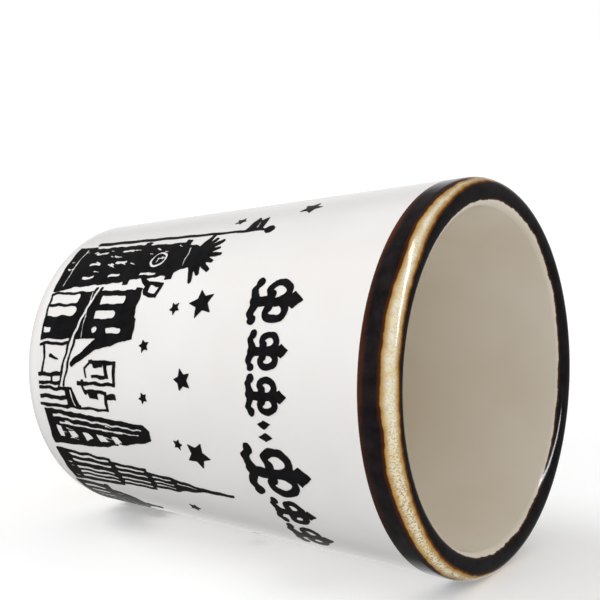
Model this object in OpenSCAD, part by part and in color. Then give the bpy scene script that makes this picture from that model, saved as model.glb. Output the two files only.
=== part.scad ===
// A small tapered cup of white glazed stoneware with a brown glazed rim and a
// black skyline print. It stands on its dry foot ring at z = 0, its axis is +Z,
// and the middle of the print faces -Y. Millimetres and degrees.

/* [Cup] */
// Height from the table to the crown of the rim
height = 60; // [46:1:80]
// Outer wall's diameter where its straight line meets the rim's height
mouth_d = 48.6; // [40:0.2:60]
// Outer wall's diameter where its straight line meets the table
foot_d = 37.2; // [30:0.2:46]
// Round between the wall and the underside
foot_round = 4.6; // [2:0.1:6]
// Thickness of the bottom at the middle, glazes included
floor_t = 6; // [4:0.1:9]
// Round between the inside wall and the inside floor
floor_round = 7; // [3:0.1:10]
// How much more the inside wall leans than the outside wall
inner_lean = 0.17; // [0:0.01:1]

/* [Rim] */
// Round on the outer side of the rim
lip_outer_round = 2; // [1.2:0.1:3]
// Round on the inner side of the rim
lip_inner_round = 1.4; // [1:0.1:2.4]
// Flat left between the two rounds
lip_land = 0.1; // [0.05:0.05:1]
// How far the brown glaze runs down the outside
rim_drop_outside = 4.4; // [3:0.1:8]
// How far the brown glaze runs down the inside
rim_drop_inside = 1.2; // [0.6:0.1:6]

/* [Foot] */
// Diameter of the recess under the foot
recess_d = 22.6; // [16:0.2:28]
// Depth of the recess under the foot
recess_depth = 1.6; // [1:0.1:2.5]
// Height of bare clay left above the table
dry_h = 0.9; // [0.6:0.1:1.5]

/* [Coats] */
// Thickness of the fired glazes
glaze_t = 0.3; // [0.2:0.05:0.5]
// Thickness of the fired print on the glaze
ink_t = 0.06; // [0.04:0.01:0.12]

/* [Print] */
// Bare glaze between the foot's round and the skyline
print_lift = 0.2; // [0.1:0.1:6]
// Bare glaze between the row of ornaments and the brown band
print_gap = 7.6; // [4:0.1:16]
// Number of radiating finials on the belfry
finials = 7; // [3:2:11]
// Number of arches in the arcade
arches = 5; // [2:1:6]

/* [Hidden] */
$fn = 96;

// The outside wall is a straight line in section. Its slope away from upright:
wall_draft = atan((mouth_d - foot_d) / 2 / height);
inner_draft = wall_draft + inner_lean;
// Unit normals of the two wall lines, pointing away from the axis
wall_n = [cos(wall_draft), -sin(wall_draft)];
inner_n = [cos(inner_draft), -sin(inner_draft)];

// Outer wall's radius at height z
function wall_r(z) = foot_d / 2 + z * tan(wall_draft);

// Centre of a round of radius r tucked into the wall, at height z
function tucked(r, z) = [wall_r(z) - r / cos(wall_draft), z];

lip_c = tucked(lip_outer_round, height - lip_outer_round);
foot_c = tucked(foot_round, foot_round);
inner_lip_c = [lip_c[0] - lip_land, height - lip_inner_round];

// The inside wall touches the rim's inner round, so its line follows from it
inner_wall_d = inner_lip_c * inner_n - lip_inner_round;
function inner_r(z) = (inner_wall_d + z * sin(inner_draft)) / cos(inner_draft);
floor_c = [
    inner_r(floor_t + floor_round) - floor_round / cos(inner_draft),
    floor_t + floor_round
];

// Middle of the rim, between its two rounds
crown_r = lip_c[0] - lip_land / 2;
band_z = height - rim_drop_outside;
inside_z = height - rim_drop_inside;
recess_r = recess_d / 2;
// Slack past a cut, so that no cut ends on a face
past = 1;

// The print was drawn this tall, for a wall of this radius at mid height. It is
// scaled as one sheet to fit the cup.
drawn_h = 43.6;
drawn_r = 21.45;
// The wall is straight from here up to the brown band
straight_z = foot_round + foot_round * wall_n[1];
print_z = straight_z + print_lift;
print_h = band_z - print_gap - print_z;
print_scale = min(print_h / drawn_h, wall_r(height / 2) / drawn_r);
// Height above the sheet's foot of the ornament row's middle line
ornament_z = 38.4;

// ---- sections of the cup, right of the axis ------------------------------

// The outer form, its surface moved in by g
module outer_form(g) {
    polygon([
        [0, g],
        [foot_c[0], g],
        foot_c + (foot_round - g) * wall_n,
        lip_c + (lip_outer_round - g) * wall_n,
        [lip_c[0], height - g],
        [0, height - g]
    ]);
    translate(foot_c) circle(foot_round - g);
    translate(lip_c) circle(lip_outer_round - g);
}

// The hollow, its surface moved into the clay by g
module hollow(g) {
    polygon([
        [0, floor_t - g],
        [floor_c[0], floor_t - g],
        floor_c + (floor_round + g) * inner_n,
        inner_lip_c - (lip_inner_round - g) * inner_n,
        [0, height - lip_inner_round]
    ]);
    intersection() {
        translate(floor_c) circle(floor_round + g);
        translate([0, floor_t - g]) square([mouth_d, floor_round + g]);
    }
    difference() {
        polygon([
            [0, floor_t + floor_round],
            inner_lip_c - (lip_inner_round - g) * inner_n,
            inner_lip_c,
            [inner_lip_c[0], height + past],
            [0, height + past]
        ]);
        translate(inner_lip_c) circle(lip_inner_round - g);
    }
}

// Section of the cup with g taken off every glazed face
module cup_section(g) {
    difference() {
        outer_form(g);
        hollow(g);
    }
}

// The recess under the foot, its surface moved into the clay by g
module recess(g) {
    polygon([
        [0, -past],
        [recess_r + past + g, -past],
        [recess_r - recess_depth + g, recess_depth + g],
        [0, recess_depth + g]
    ]);
}

// ---- the cup's layers ----------------------------------------------------

module clay_body() color("#e9e2d2") rotate_extrude() difference() {
    union() {
        cup_section(glaze_t);
        translate([recess_r - past, 0]) square([foot_c[0] - recess_r + past, floor_t / 2]);
    }
    recess(glaze_t);
}

module outer_glaze() color("#f4f2ee") rotate_extrude() intersection() {
    difference() {
        outer_form(0);
        outer_form(glaze_t);
    }
    translate([0, dry_h]) square([mouth_d, band_z - dry_h]);
}

module liner_glaze() color("#efece6") rotate_extrude() intersection() {
    difference() {
        hollow(glaze_t);
        hollow(0);
    }
    square([mouth_d, inside_z]);
}

module foot_glaze() color("#f4f2ee") rotate_extrude() intersection() {
    difference() {
        recess(glaze_t);
        recess(0);
    }
    translate([0, dry_h]) square([mouth_d, floor_t]);
}

// One coat that runs over the crown, from the outside wall to the inside
module rim_glaze() color("#2b150b") rotate_extrude() intersection() {
    difference() {
        cup_section(0);
        cup_section(glaze_t);
    }
    union() {
        translate([crown_r, band_z]) square([mouth_d, rim_drop_outside + past]);
        translate([0, inside_z]) square([crown_r, rim_drop_inside + past]);
    }
}

// ---- the fired print -----------------------------------------------------

// The layer that the print lies in, on the outer wall
module ink_layer() rotate_extrude() polygon([
    [wall_r(straight_z), straight_z],
    [wall_r(straight_z) + ink_t, straight_z],
    [wall_r(band_z) + ink_t, band_z],
    [wall_r(band_z), band_z]
]);

// Lays a flat drawing on the wall, its x = 0 line at the angle az from the front
module on_wall(az) color("#1b1a1c") intersection() {
    ink_layer();
    rotate([0, 0, az]) rotate([90, 0, 0]) translate([0, print_z, 0])
        linear_extrude(mouth_d) scale(print_scale) children();
}

module bar(w, h, x = 0, z = 0) translate([x - w / 2, z]) square([w, h]);

// A line of width w between two points
module stroke(a, b, w) {
    d = b - a;
    side = [-d[1], d[0]] / norm(d) * w / 2;
    polygon([a + side, a - side, b - side, b + side]);
}

// An opening with a round head
module arch(w, h, x = 0, z = 0) {
    bar(w, h - w / 2, x, z);
    translate([x, z + h - w / 2]) circle(w / 2);
}

module star(r, x, z) translate([x, z]) polygon([
    for (i = [0 : 9]) (i % 2 == 0 ? r : r * 0.42) * [sin(i * 36), cos(i * 36)]
]);

// Half a ring of mean radius r and width w, above or below its middle
module half_ring(r, w, up) intersection() {
    difference() {
        circle(r + w / 2);
        circle(r - w / 2);
    }
    translate([-r - w, up ? 0 : -r - w]) square([2 * (r + w), r + w]);
}

// A curl that winds in from the left, its first half-turn of radius r
module curl(r, w) {
    half_ring(r, w, true);
    translate([r * 0.38, 0]) half_ring(r * 0.62, w, false);
    translate([-r * 0.1, 0]) circle(w * 0.85);
}

// A stem with a bud on top and a pair of curls, h tall
module fern(h, w) {
    r = h * 0.155;
    bar(w, h * 0.62, 0, -h / 2);
    translate([0, h * 0.3]) polygon([[-w, 0], [0, -h * 0.18], [w, 0], [0, h * 0.2]]);
    for (s = [0, 1]) mirror([s, 0]) {
        translate([r + w * 0.3, -h * 0.05]) curl(r, w);
        translate([0, -h / 2]) polygon([[0, 0], [h * 0.3, -h * 0.02], [0, h * 0.14]]);
    }
}

module ornament_row() {
    // [angle from the front, height] of each fern, with diamonds in the gap
    ferns = [[-20, 7.6], [-5, 5.8], [8, 5.8], [32, 9.4], [47.5, 5.8], [60.5, 5.8]];
    for (f = ferns) on_wall(f[0]) translate([0, ornament_z]) fern(f[1], 0.8);
    for (a = [16.4, 20.6]) on_wall(a) translate([0, ornament_z - 0.6])
        polygon([[-0.6, 0], [0, -1], [0.6, 0], [0, 1]]);
}

// [angle from the front, height above the sheet's foot, radius]
module large_stars() for (s = [[-20, 27, 2], [30, 26.3, 2], [5, 25.4, 1.5], [-61, 35.8, 1.6],
        [96, 28, 2], [140, 32, 1.5], [187, 34, 2], [228, 30, 1.5], [262, 33, 2]])
    on_wall(s[0]) star(s[2], 0, s[1]);

module small_stars() for (s = [[-18.5, 22.8, 0.9], [27, 23.4, 0.8], [-5.5, 18.8, 0.9],
        [12, 18.8, 0.8], [-57, 26, 0.9], [58, 20.5, 0.9], [83, 24.5, 0.9],
        [108, 25, 0.8], [152, 27, 0.9], [200, 28, 0.8], [215, 26, 0.9], [250, 27, 0.8]])
    on_wall(s[0]) star(s[2], 0, s[1]);

module belfry() on_wall(-39) {
    difference() {
        union() {
            bar(8, 3);
            bar(6.8, 9.5, 0, 3);
            bar(7.4, 0.8, 0, 12.5);
            bar(6, 6.4, 0, 13.3);
            bar(6.8, 0.8, 0, 19.7);
            bar(4, 2, 0, 20.5);
        }
        for (x = [-2.1, 0, 2.1], z = [3.8, 8.2]) arch(1, 3.2, x, z);
        for (x = [-2.3, 2.3]) arch(0.7, 4, x, 14.4);
        translate([0, 16.5]) circle(1.3);
    }
    // finials fan out from the middle of the roof
    translate([0, 22.3]) for (i = [0 : finials - 1]) rotate(-60 + i * 120 / (finials - 1))
        polygon([[-0.5, 0], [0.5, 0], [0, 4.2]]);
}

module flag_mast() on_wall(-50.2) {
    stroke([-0.6, 3.2], [0.3, 32], 0.5);
    translate([0.3, 32.2]) circle(0.75);
    polygon([[0.2, 31], [-3, 30.4], [-2.2, 29.6], [-3, 28.8], [0.1, 28.2]]);
}

module river_bridge() on_wall(-17) {
    difference() {
        union() {
            bar(6.2, 15.6);
            bar(7, 0.9, 0, 15.6);
        }
        for (x = [-1.5, 1.5]) {
            arch(1.6, 6.2, x);
            arch(1.6, 6, x, 8.4);
        }
    }
    // roadway, cable and the piers under the roadway
    stroke([3, 6.8], [8.8, 4.6], 0.7);
    stroke([2.8, 15], [5.3, 6], 0.7);
    for (x = [4.4, 6.2, 8]) bar(0.5, 6 - (x - 4) * 0.38, x);
}

module corner_houses() {
    on_wall(4.5) difference() {
        bar(3, 5.6, 0, 8.4);
        for (x = [-0.75, 0.75], z = [9.1, 11.4]) bar(0.8, 1.6, x, z);
    }
    on_wall(14.5) {
        difference() {
            bar(2.6, 6, 0, 6.4);
            for (x = [-0.65, 0.65], z = [7.2, 9.8]) bar(0.7, 1.7, x, z);
        }
        bar(0.7, 1.6, -0.6, 12.4);
    }
}

module tapered_tower() on_wall(26.5) difference() {
    polygon([[-2.4, 1], [-1.7, 18], [-1, 19], [0.1, 19], [0.6, 18.2], [2.4, 9], [2.7, 1]]);
    for (z = [3 : 2.6 : 14]) polygon([[0.2, z], [1.5, z + 0.3], [1.4, z + 1.6], [0.2, z + 1.2]]);
    bar(0.4, 11, -1.2, 3);
}

module spire_tower() on_wall(45.5) difference() {
    union() {
        bar(5, 8, 0, 2);
        bar(3.8, 6, 0, 10);
        bar(2.6, 4, 0, 16);
        polygon([[-1.3, 20], [-0.25, 24.4], [-0.2, 29.5], [0.2, 29.5], [0.25, 24.4], [1.3, 20]]);
    }
    for (x = [-1.6, -0.55, 0.55, 1.6]) bar(0.45, 6.4, x, 2.8);
    for (x = [-1, 0, 1]) bar(0.45, 4.6, x, 10.7);
    for (x = [-0.5, 0.5]) bar(0.4, 2.6, x, 16.7);
}

module domed_hall() on_wall(68) {
    difference() {
        bar(8, 5.6);
        for (i = [-2 : 2]) bar(0.7, 3.8, i * 1.4, 0.8);
    }
    bar(5.6, 1.6, 0, 5.6);
    intersection() {
        translate([0, 7.2]) circle(2.6);
        bar(6, 3, 0, 7.2);
    }
    bar(0.6, 3, 0, 9.6);
}

module gabled_houses() {
    for (i = [0 : 2]) on_wall(85 + i * 9) {
        eaves = 6.5 + i % 2 * 2;
        difference() {
            union() {
                bar(2.8, eaves);
                translate([0, eaves]) polygon([[-1.4, 0], [1.4, 0], [0, 2.4]]);
            }
            bar(0.8, 1.8);
            for (x = [-0.7, 0.7], z = [2.8, 4.9]) bar(0.6, 1.2, x, z);
        }
    }
}

module water_tank() on_wall(119) {
    for (x = [-1.6, 0, 1.6]) bar(0.4, 8, x);
    for (s = [-1.6, 1.6]) stroke([s, 2.4], [-s, 5.6], 0.3);
    bar(4.2, 4, 0, 8);
    polygon([[-2.1, 12], [2.1, 12], [0, 14.4]]);
}

module stepped_block() on_wall(137) difference() {
    union() {
        bar(6.4, 11);
        bar(4.6, 4.4, 0, 11);
        bar(2.8, 3.4, 0, 15.4);
    }
    for (x = [-2.2, -0.75, 0.75, 2.2], z = [1, 3.4, 5.8, 8.2]) bar(0.7, 1.6, x, z);
    for (x = [-0.75, 0.75]) bar(0.7, 3, x, 11.4);
}

module lattice_mast() on_wall(155.2) {
    for (s = [-1, 1]) stroke([s * 2.3, 0], [s * 0.2, 22], 0.5);
    for (i = [0 : 4]) {
        z = 1 + i * 3.6;
        w = 2.2 - i * 0.35;
        bar(2 * w, 0.4, 0, z);
        stroke([-w, z], [w - 0.35, z + 3.6], 0.3);
    }
    bar(0.5, 3, 0, 21.6);
}

module arcade() on_wall(183) difference() {
    pitch = 2.4;
    bar(arches * pitch + 0.6, 7);
    for (i = [0 : arches - 1]) arch(1.5, 5.2, (i - (arches - 1) / 2) * pitch);
}

module chimney_works() on_wall(216) {
    difference() {
        union() {
            bar(4.8, 6, -1.6);
            for (x = [-4, -2.4, -0.8]) polygon([[x, 6], [x + 1.6, 6], [x + 1.6, 7.6]]);
        }
        for (x = [-3.2, -1.6, 0]) bar(0.8, 1.8, x, 2.6);
    }
    polygon([[1.3, 0], [1.6, 15], [2.6, 15], [2.9, 0]]);
    bar(1.6, 0.9, 2.1, 15);
}

module chapel() on_wall(244) difference() {
    union() {
        polygon([[-1, 0], [-1, 5], [1.6, 8.4], [4.2, 5], [4.2, 0]]);
        bar(2.4, 11, -2.2);
        polygon([[-3.7, 11], [-0.7, 11], [-2.2, 18.5]]);
    }
    arch(1.2, 3, 1.6);
    translate([1.6, 5.4]) circle(0.8);
    arch(0.8, 2.4, -2.2, 6.8);
}

clay_body();
outer_glaze();
liner_glaze();
foot_glaze();
rim_glaze();
ornament_row();
large_stars();
small_stars();
belfry();
flag_mast();
river_bridge();
corner_houses();
tapered_tower();
spire_tower();
domed_hall();
gabled_houses();
water_tank();
stepped_block();
lattice_mast();
arcade();
chimney_works();
chapel();
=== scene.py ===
import math

import bmesh
import bpy
import numpy as np
from mathutils import Matrix, Vector


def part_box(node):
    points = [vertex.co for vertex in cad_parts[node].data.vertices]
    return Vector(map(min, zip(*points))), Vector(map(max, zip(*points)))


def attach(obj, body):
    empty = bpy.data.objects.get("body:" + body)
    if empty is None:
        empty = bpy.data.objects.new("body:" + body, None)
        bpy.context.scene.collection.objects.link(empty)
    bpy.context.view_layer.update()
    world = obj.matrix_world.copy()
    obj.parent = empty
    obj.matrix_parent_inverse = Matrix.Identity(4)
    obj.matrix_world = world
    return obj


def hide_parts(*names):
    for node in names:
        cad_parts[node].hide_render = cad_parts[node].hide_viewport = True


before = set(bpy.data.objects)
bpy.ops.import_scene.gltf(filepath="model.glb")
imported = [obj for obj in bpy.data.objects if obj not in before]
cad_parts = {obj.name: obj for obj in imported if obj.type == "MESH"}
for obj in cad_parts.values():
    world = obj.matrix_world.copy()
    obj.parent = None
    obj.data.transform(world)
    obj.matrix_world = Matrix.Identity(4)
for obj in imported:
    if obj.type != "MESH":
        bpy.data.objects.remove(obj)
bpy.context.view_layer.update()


# ---- Clay body -----------------------------------------------------------
# The cup itself: a tapered cup of buff stoneware, cast, trimmed and fired. It
# shows only where the glaze was wiped off, on the foot ring that it stands on.
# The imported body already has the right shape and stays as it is.

MM = 0.001
BODY = "root"


def linear(hex_colour):
    """An sRGB hex colour as the linear RGBA that a shader takes."""
    channels = [int(hex_colour[i : i + 2], 16) / 255 for i in (1, 3, 5)]
    return [c / 12.92 if c <= 0.04045 else ((c + 0.055) / 1.055) ** 2.4 for c in channels] + [1]


def put(tree, kind, inputs=(), **settings):
    """Adds one node. Each input is a value, or another node's output to link."""
    node = tree.nodes.new(kind)
    for key, value in settings.items():
        setattr(node, key, value)
    for key, value in dict(inputs).items():
        if isinstance(value, bpy.types.NodeSocket):
            tree.links.new(value, node.inputs[key])
        else:
            node.inputs[key].default_value = value
    return node


def finish_named(name):
    """A new material: its tree, its shader and its object coordinates."""
    material = bpy.data.materials.new(name)
    material.use_nodes = True
    tree = material.node_tree
    place = put(tree, "ShaderNodeTexCoord").outputs["Object"]
    return material, tree, tree.nodes["Principled BSDF"], place


def ramp(tree, factor, stops):
    """Colours along a factor, from (position, hex colour) stops."""
    node = put(tree, "ShaderNodeValToRGB", {"Fac": factor})
    elements = node.color_ramp.elements
    while len(elements) < len(stops):
        elements.new(0.5)
    for element, (position, colour) in zip(elements, stops):
        element.position = position
        element.color = linear(colour)
    return node.outputs["Color"]


def per(size):
    """The scale of a texture whose features are this size in metres."""
    return 1 / size


# Bisque stoneware: dry and chalky, with the grit of the body showing as specks
bare_clay, tree, shader, place = finish_named("bisque_stoneware")
grit = put(tree, "ShaderNodeTexNoise", {"Vector": place, "Scale": per(0.5 * MM), "Detail": 4})
clay_tones = [(0.3, "#b7a98f"), (0.5, "#cdc1a9"), (0.7, "#dbd1bd")]
tree.links.new(ramp(tree, grit.outputs["Fac"], clay_tones), shader.inputs["Base Color"])
tooth = put(tree, "ShaderNodeBump", {"Height": grit.outputs["Fac"], "Strength": 0.4, "Distance": 0.05 * MM})
tree.links.new(tooth.outputs["Normal"], shader.inputs["Normal"])
shader.inputs["Roughness"].default_value = 0.9

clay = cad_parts["clay_body"]
clay.data.materials.clear()
clay.data.materials.append(bare_clay)


# ---- White glaze on the outside ------------------------------------------
# A tin-white glossy glaze 0.3 mm thick, dipped. It ends in a rolled edge just
# above the dry foot, and under the brown glaze at the rim.

RIM_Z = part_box("rim_glaze")[1].z
BAND_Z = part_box("outer_glaze")[1].z
COAT = 0.3 * MM
MOUTH_R = 24.3 * MM
FOOT_R = 18.6 * MM
FOOT_ROUND = 4.6 * MM
DRAFT = math.atan((MOUTH_R - FOOT_R) / RIM_Z)
SLOPE = math.tan(DRAFT)
STEPS_AROUND = 360
SHARP = math.radians(40)


def wall_r(z):
    return FOOT_R + z * SLOPE


def tucked(radius, z):
    """Centre of a round of this radius tucked into the outer wall, at height z."""
    return np.array([wall_r(z) - radius / math.cos(DRAFT), z])


def arc(centre, radius, start, end, steps):
    """Points of an arc in section, between two angles in radians."""
    angles = np.linspace(start, end, steps)
    return centre + radius * np.stack([np.cos(angles), np.sin(angles)], 1)


def line(start, end, steps):
    return np.linspace(start, end, steps)


def wheel_tree():
    """Turns a section, given as a ring of points in order, about the Z axis."""
    tree = bpy.data.node_groups.new("turned_on_the_wheel", "GeometryNodeTree")
    sockets = tree.interface
    sockets.new_socket("Section", in_out="INPUT", socket_type="NodeSocketGeometry")
    sockets.new_socket("Steps Around", in_out="INPUT", socket_type="NodeSocketInt")
    sockets.new_socket("Coat", in_out="INPUT", socket_type="NodeSocketMaterial")
    sockets.new_socket("Turned", in_out="OUTPUT", socket_type="NodeSocketGeometry")
    given = put(tree, "NodeGroupInput").outputs
    section = given["Section"]
    count = put(tree, "GeometryNodeAttributeDomainSize", {"Geometry": section}).outputs["Point Count"]
    columns = put(tree, "ShaderNodeMath", {0: given["Steps Around"], 1: 1}, operation="ADD").outputs[0]
    rows = put(tree, "ShaderNodeMath", {0: count, 1: 1}, operation="ADD").outputs[0]
    spread = {"Size X": 1, "Size Y": 1, "Vertices X": columns, "Vertices Y": rows}
    grid = put(tree, "GeometryNodeMeshGrid", spread).outputs["Mesh"]
    position = put(tree, "GeometryNodeInputPosition").outputs[0]
    at = put(tree, "ShaderNodeSeparateXYZ", {0: position}).outputs
    along = put(tree, "ShaderNodeMath", {0: at["Y"], 1: 0.5}, operation="ADD").outputs[0]
    row = put(tree, "ShaderNodeMath", {0: along, 1: count}, operation="MULTIPLY").outputs[0]
    whole = put(tree, "ShaderNodeMath", {0: row}, operation="ROUND").outputs[0]
    index = put(tree, "ShaderNodeMath", {0: whole, 1: count}, operation="FLOORED_MODULO").outputs[0]
    given_run = put(tree, "GeometryNodeInputNamedAttribute", {"Name": "run"}, data_type="FLOAT")
    read = {"Geometry": section, "Index": index}
    point = put(tree, "GeometryNodeSampleIndex", read, data_type="FLOAT_VECTOR")
    tree.links.new(position, point.inputs["Value"])
    run = put(tree, "GeometryNodeSampleIndex", read, data_type="FLOAT")
    tree.links.new(given_run.outputs["Attribute"], run.inputs["Value"])
    turn = put(tree, "ShaderNodeMath", {0: at["X"], 1: 2 * math.pi}, operation="MULTIPLY").outputs[0]
    spin = {"Vector": point.outputs[0], "Axis": (0, 0, 1), "Angle": turn}
    turned = put(tree, "ShaderNodeVectorRotate", spin, rotation_type="AXIS_ANGLE").outputs[0]
    keep = {"Geometry": grid, "Name": "run", "Value": run.outputs[0]}
    stored = put(tree, "GeometryNodeStoreNamedAttribute", keep, data_type="FLOAT").outputs[0]
    placed = put(tree, "GeometryNodeSetPosition", {"Geometry": stored, "Position": turned}).outputs[0]
    closed = put(tree, "GeometryNodeMergeByDistance", {"Geometry": placed, "Distance": 0.001 * MM})
    smooth = put(tree, "GeometryNodeSetShadeSmooth", {"Geometry": closed.outputs[0]}).outputs[0]
    bend = put(tree, "GeometryNodeInputMeshEdgeAngle").outputs["Unsigned Angle"]
    corner = put(tree, "FunctionNodeCompare", {"A": bend, "B": SHARP}, operation="GREATER_THAN").outputs[0]
    crisp = {"Geometry": smooth, "Selection": corner, "Shade Smooth": False}
    edged = put(tree, "GeometryNodeSetShadeSmooth", crisp, domain="EDGE").outputs[0]
    real = put(tree, "GeometryNodeRealizeInstances", {"Geometry": edged}).outputs[0]
    coated = put(tree, "GeometryNodeSetMaterial", {"Geometry": real, "Material": given["Coat"]})
    put(tree, "NodeGroupOutput", {"Turned": coated.outputs[0]})
    return tree


def made_by(tree, name, mesh, **inputs):
    """The plain mesh object that a tree makes of a mesh, its faces turned outwards."""
    start = bpy.data.objects.new(name + "_start", mesh)
    bpy.context.scene.collection.objects.link(start)
    modifier = start.modifiers.new("made", "NODES")
    modifier.node_group = tree
    for item in tree.interface.items_tree:
        key = item.name.replace(" ", "_")
        if item.in_out == "INPUT" and key in inputs:
            modifier[item.identifier] = inputs[key]
    evaluated = start.evaluated_get(bpy.context.evaluated_depsgraph_get())
    plain = bpy.data.meshes.new_from_object(evaluated)
    bpy.data.objects.remove(start)
    shape = bmesh.new()
    shape.from_mesh(plain)
    bmesh.ops.recalc_face_normals(shape, faces=shape.faces)
    shape.to_mesh(plain)
    shape.free()
    piece = bpy.data.objects.new(name, plain)
    bpy.context.scene.collection.objects.link(piece)
    return piece


wheel = wheel_tree()


def turned_coat(node, section, material, run=0.0):
    """A coat of glaze turned from its section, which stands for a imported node."""
    mesh = bpy.data.meshes.new(node + "_section")
    points = [(r, 0, z) for r, z in section]
    mesh.from_pydata(points, [(i, (i + 1) % len(points)) for i in range(len(points))], [])
    along = mesh.attributes.new("run", "FLOAT", "POINT")
    along.data.foreach_set("value", np.full(len(points), run) if np.isscalar(run) else run)
    piece = made_by(wheel, node + "_coat", mesh, Steps_Around=STEPS_AROUND, Coat=material)
    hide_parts(node)
    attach(piece, BODY)
    return piece


def clouded(tree, place, tones):
    """A white glaze's colour: clouds of two whites, one slightly warmer."""
    cloud = put(tree, "ShaderNodeTexNoise", {"Vector": place, "Scale": per(14 * MM), "Detail": 2})
    return ramp(tree, cloud.outputs["Fac"], [(0.35, tones[0]), (0.65, tones[1])])


def glassy(tree, shader, place, ripple, depth):
    """A fired gloss: hard and clear, with the low ripple that a dip leaves."""
    peel = put(tree, "ShaderNodeTexNoise", {"Vector": place, "Scale": per(ripple), "Detail": 1})
    swell = put(tree, "ShaderNodeBump", {"Height": peel.outputs["Fac"], "Strength": 1, "Distance": depth})
    tree.links.new(swell.outputs["Normal"], shader.inputs["Normal"])
    shader.inputs["IOR"].default_value = 1.52
    shader.inputs["Roughness"].default_value = 0.12


# Tin-white gloss glaze: bright and even, with sharp reflections
white_glaze, tree, shader, place = finish_named("white_gloss_glaze")
tree.links.new(clouded(tree, place, ("#efecea", "#f4f2f0")), shader.inputs["Base Color"])
glassy(tree, shader, place, 5 * MM, 0.02 * MM)

foot_c = tucked(FOOT_ROUND, FOOT_ROUND)
ROLL = COAT / 2
roll_turn = -math.radians(52.5)
roll_out = np.array([math.cos(roll_turn), math.sin(roll_turn)])
roll_down = np.array([math.sin(roll_turn), -math.cos(roll_turn)])
roll_c = foot_c + (FOOT_ROUND - ROLL) * roll_out
half_turn = np.linspace(math.pi, 0, 9)[:, None]
rolled_edge = roll_c + ROLL * (np.cos(half_turn) * roll_out + np.sin(half_turn) * roll_down)
STRAIGHT_Z = 6 * MM
# down against the clay, round the rolled edge, and up the face of the wall
outer_section = np.concatenate([
    line((wall_r(BAND_Z) - COAT, BAND_Z), (wall_r(STRAIGHT_Z) - COAT, STRAIGHT_Z), 40),
    arc(foot_c, FOOT_ROUND - COAT, -DRAFT, roll_turn, 24)[:-1],
    rolled_edge,
    arc(foot_c, FOOT_ROUND, roll_turn, -DRAFT, 24)[1:],
    line((wall_r(STRAIGHT_Z), STRAIGHT_Z), (wall_r(BAND_Z), BAND_Z), 40),
])
turned_coat("outer_glaze", outer_section, white_glaze)


# ---- White liner glaze inside --------------------------------------------
# A creamier white glaze, poured in and out before the outside was dipped, its
# colour also darkened as painted shade for the inside of the cup. One coat
# covers the inside wall, the round at its foot and the floor.

# Cream liner glaze: the same clear gloss, over a warmer white that is partly the glaze's own tone and partly
# painted shade of the inside
SHADED_CREAM = ("#e9dfce", "#f0e8da")
liner_glaze, tree, shader, place = finish_named("cream_liner_glaze")
tree.links.new(clouded(tree, place, SHADED_CREAM), shader.inputs["Base Color"])
glassy(tree, shader, place, 5 * MM, 0.02 * MM)

LIP_OUTER = 2 * MM
LIP_INNER = 1.4 * MM
LIP_LAND = 0.1 * MM
INNER_DRAFT = DRAFT + math.radians(0.17)
INSIDE_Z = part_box("liner_glaze")[1].z
FLOOR_Z = 6 * MM
FLOOR_ROUND = 7 * MM

lip_c = tucked(LIP_OUTER, RIM_Z - LIP_OUTER)
inner_lip_c = np.array([lip_c[0] - LIP_LAND, RIM_Z - LIP_INNER])
inner_n = np.array([math.cos(INNER_DRAFT), -math.sin(INNER_DRAFT)])
inner_d = inner_lip_c @ inner_n - LIP_INNER


def inner_r(z):
    return (inner_d - z * inner_n[1]) / inner_n[0]


floor_c = np.array([inner_r(FLOOR_Z + FLOOR_ROUND) - FLOOR_ROUND / inner_n[0], FLOOR_Z + FLOOR_ROUND])
# the lip's inner round, from where the liner meets the brown glaze to the wall
inside_turn = math.pi - math.asin((INSIDE_Z - inner_lip_c[1]) / LIP_INNER)
inner_wall_turn = math.pi - INNER_DRAFT
below_lip, above_floor = 56 * MM, 15 * MM
liner_section = np.concatenate([
    arc(inner_lip_c, LIP_INNER, inside_turn, inner_wall_turn, 5),
    line((inner_r(below_lip), below_lip), (inner_r(above_floor), above_floor), 40),
    arc(floor_c, FLOOR_ROUND, -INNER_DRAFT, -math.pi / 2, 28),
    line((floor_c[0] * 0.9, FLOOR_Z), (0, FLOOR_Z), 8),
    line((0, FLOOR_Z - COAT), (floor_c[0] * 0.9, FLOOR_Z - COAT), 8),
    arc(floor_c, FLOOR_ROUND + COAT, -math.pi / 2, -INNER_DRAFT, 28),
    line((inner_r(above_floor) + COAT, above_floor), (inner_r(below_lip) + COAT, below_lip), 40),
    arc(inner_lip_c, LIP_INNER - COAT, inner_wall_turn, inside_turn, 5),
])
turned_coat("liner_glaze", liner_section, liner_glaze)


# ---- White glaze under the foot ------------------------------------------
# A thin coat in the shallow recess inside the foot ring, wiped clean at its edge.

recess_low, recess_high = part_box("foot_glaze")
RECESS_R = 11.3 * MM
RECESS_Z = recess_high.z - COAT
edge_r = RECESS_R - recess_low.z
slope_r = RECESS_R - RECESS_Z
foot_section = np.concatenate([
    line((edge_r, recess_low.z), (slope_r, RECESS_Z), 5),
    line((slope_r * 0.95, RECESS_Z), (0, RECESS_Z), 8),
    line((0, recess_high.z), (slope_r * 0.95, recess_high.z), 8),
    line((slope_r, recess_high.z), (recess_high.x, recess_low.z), 5),
])
turned_coat("foot_glaze", foot_section, white_glaze)


# ---- Brown glaze on the rim ----------------------------------------------
# An iron-brown glaze, the rim dipped once more. It is near black where it lies
# thick, breaks to pale amber where it thins on the outer shoulder of the lip, and
# ends in a reddish fringe outside and in a ragged line just inside the mouth.

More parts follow.
